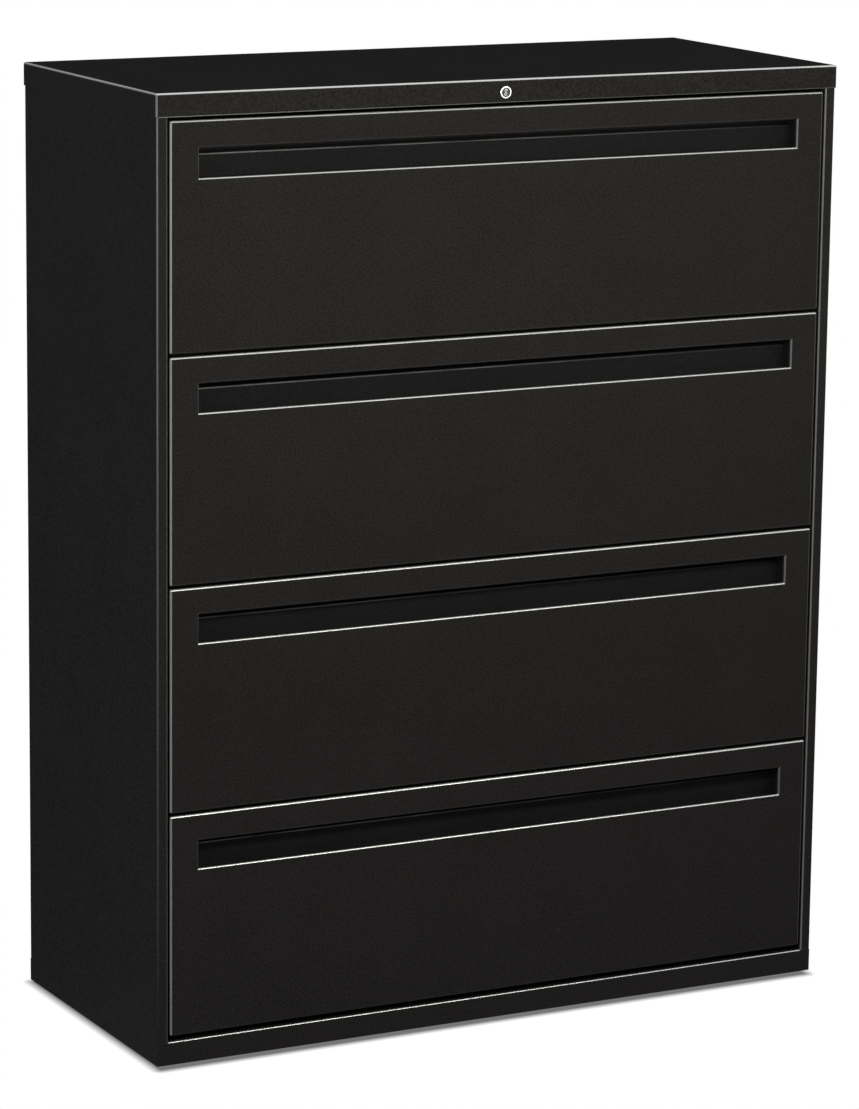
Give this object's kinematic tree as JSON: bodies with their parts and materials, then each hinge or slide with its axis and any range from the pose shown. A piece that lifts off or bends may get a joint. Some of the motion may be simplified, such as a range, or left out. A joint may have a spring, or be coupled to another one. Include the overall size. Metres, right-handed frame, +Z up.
{
  "type": "lateral filing cabinet",
  "caption": "Wide steel lateral filing cabinet: full-width drawers with recessed pulls on telescopic slides, a lock in the top rail that bars the drawers, and levelling glides.",
  "frame": {"origin": "on the floor, in the middle of the cabinet's footprint", "axes": "+Z up, the drawer fronts face -Y, +X to the right seen from the front"},
  "size_m": [1.0668, 0.4596, 1.3526],
  "materials": {
    "case_paint": "satin black, lightly textured paint",
    "drawer_paint": "satin black, lightly textured paint",
    "upright_steel": "satin black paint",
    "slide_zinc": "zinc plated",
    "rail_zinc": "zinc plated",
    "lock_zinc": "zinc plated",
    "lock_nickel": "polished nickel plate",
    "glide_nylon": "black nylon"
  },
  "bodies": {
    "case": {"side_panel_left": "case_paint", "side_panel_right": "case_paint", "back_panel": "case_paint", "top_cap": "case_paint", "base_pan": "case_paint", "upright_front_left": "upright_steel", "upright_front_right": "upright_steel", "upright_rear_left": "upright_steel", "upright_rear_right": "upright_steel", "slide_1_outer_left": "slide_zinc", "slide_1_outer_right": "slide_zinc", "slide_2_outer_left": "slide_zinc", "slide_2_outer_right": "slide_zinc", "slide_3_outer_left": "slide_zinc", "slide_3_outer_right": "slide_zinc", "slide_4_outer_left": "slide_zinc", "slide_4_outer_right": "slide_zinc", "lock_body": "lock_nickel", "lock_nut": "lock_zinc"},
    "drawer_1": {"drawer_1_front": "drawer_paint", "drawer_1_pull_pan": "drawer_paint", "drawer_1_tub": "drawer_paint", "slide_1_inner_left": "slide_zinc", "slide_1_inner_right": "slide_zinc"},
    "slide_1_middles": {"slide_1_middle_left": "slide_zinc", "slide_1_middle_right": "slide_zinc"},
    "hang_rail_1": {"drawer_1_hang_rail": "rail_zinc"},
    "drawer_2": {"drawer_2_front": "drawer_paint", "drawer_2_pull_pan": "drawer_paint", "drawer_2_tub": "drawer_paint", "slide_2_inner_left": "slide_zinc", "slide_2_inner_right": "slide_zinc"},
    "slide_2_middles": {"slide_2_middle_left": "slide_zinc", "slide_2_middle_right": "slide_zinc"},
    "hang_rail_2": {"drawer_2_hang_rail": "rail_zinc"},
    "drawer_3": {"drawer_3_front": "drawer_paint", "drawer_3_pull_pan": "drawer_paint", "drawer_3_tub": "drawer_paint", "slide_3_inner_left": "slide_zinc", "slide_3_inner_right": "slide_zinc"},
    "slide_3_middles": {"slide_3_middle_left": "slide_zinc", "slide_3_middle_right": "slide_zinc"},
    "hang_rail_3": {"drawer_3_hang_rail": "rail_zinc"},
    "drawer_4": {"drawer_4_front": "drawer_paint", "drawer_4_pull_pan": "drawer_paint", "drawer_4_tub": "drawer_paint", "slide_4_inner_left": "slide_zinc", "slide_4_inner_right": "slide_zinc"},
    "slide_4_middles": {"slide_4_middle_left": "slide_zinc", "slide_4_middle_right": "slide_zinc"},
    "hang_rail_4": {"drawer_4_hang_rail": "rail_zinc"},
    "lock_turn": {"lock_plug": "lock_nickel", "lock_cam": "lock_zinc"},
    "lock_link": {"lock_link": "lock_zinc"},
    "lock_bar": {"lock_bar": "lock_zinc"},
    "glide_front_left": {"glide_front_left": "glide_nylon"},
    "glide_front_right": {"glide_front_right": "glide_nylon"},
    "glide_rear_left": {"glide_rear_left": "glide_nylon"},
    "glide_rear_right": {"glide_rear_right": "glide_nylon"}
  },
  "joints": [
    {"name": "drawer_1_slide", "type": "slide", "parent": "case", "child": "drawer_1", "axis": [0, -1, 0], "range_m": [0, 0.37]},
    {"name": "slide_1_middles_slide", "type": "slide", "parent": "case", "child": "slide_1_middles", "axis": [0, -1, 0], "range_m": [0, 0.185]},
    {"name": "hang_rail_1_slide", "type": "slide", "parent": "drawer_1", "child": "hang_rail_1", "axis": [0, -1, 0], "range_m": [0, 0.076]},
    {"name": "drawer_2_slide", "type": "slide", "parent": "case", "child": "drawer_2", "axis": [0, -1, 0], "range_m": [0, 0.37]},
    {"name": "slide_2_middles_slide", "type": "slide", "parent": "case", "child": "slide_2_middles", "axis": [0, -1, 0], "range_m": [0, 0.185]},
    {"name": "hang_rail_2_slide", "type": "slide", "parent": "drawer_2", "child": "hang_rail_2", "axis": [0, -1, 0], "range_m": [0, 0.076]},
    {"name": "drawer_3_slide", "type": "slide", "parent": "case", "child": "drawer_3", "axis": [0, -1, 0], "range_m": [0, 0.37]},
    {"name": "slide_3_middles_slide", "type": "slide", "parent": "case", "child": "slide_3_middles", "axis": [0, -1, 0], "range_m": [0, 0.185]},
    {"name": "hang_rail_3_slide", "type": "slide", "parent": "drawer_3", "child": "hang_rail_3", "axis": [0, -1, 0], "range_m": [0, 0.076]},
    {"name": "drawer_4_slide", "type": "slide", "parent": "case", "child": "drawer_4", "axis": [0, -1, 0], "range_m": [0, 0.37]},
    {"name": "slide_4_middles_slide", "type": "slide", "parent": "case", "child": "slide_4_middles", "axis": [0, -1, 0], "range_m": [0, 0.185]},
    {"name": "hang_rail_4_slide", "type": "slide", "parent": "drawer_4", "child": "hang_rail_4", "axis": [0, -1, 0], "range_m": [0, 0.076]},
    {"name": "lock_plug_turn", "type": "hinge", "parent": "case", "child": "lock_turn", "pos_m": [-0.007, -0.2274, 1.33435], "axis": [0, 1, 0], "range_deg": [0, 90]},
    {"name": "lock_link_slide", "type": "slide", "parent": "case", "child": "lock_link", "axis": [1, 0, 0], "range_m": [0, 0.01414]},
    {"name": "lock_bar_lift", "type": "slide", "parent": "case", "child": "lock_bar", "axis": [0, 0, 1], "range_m": [0, 0.01414]},
    {"name": "glide_front_left_level", "type": "slide", "parent": "case", "child": "glide_front_left", "axis": [0, 0, -1], "range_m": [0, 0.012]},
    {"name": "glide_front_right_level", "type": "slide", "parent": "case", "child": "glide_front_right", "axis": [0, 0, -1], "range_m": [0, 0.012]},
    {"name": "glide_rear_left_level", "type": "slide", "parent": "case", "child": "glide_rear_left", "axis": [0, 0, -1], "range_m": [0, 0.012]},
    {"name": "glide_rear_right_level", "type": "slide", "parent": "case", "child": "glide_rear_right", "axis": [0, 0, -1], "range_m": [0, 0.012]}
  ],
  "couplings": [
    {"joint": "slide_1_middles_slide", "follows": "drawer_1_slide", "ratio": 0.5},
    {"joint": "slide_2_middles_slide", "follows": "drawer_2_slide", "ratio": 0.5},
    {"joint": "slide_3_middles_slide", "follows": "drawer_3_slide", "ratio": 0.5},
    {"joint": "slide_4_middles_slide", "follows": "drawer_4_slide", "ratio": 0.5},
    {"joint": "lock_link_slide", "follows": "lock_bar_lift", "ratio": 1},
    {"joint": "lock_plug_turn", "follows": "lock_bar_lift", "rad_per_m": 111.07}
  ]
}
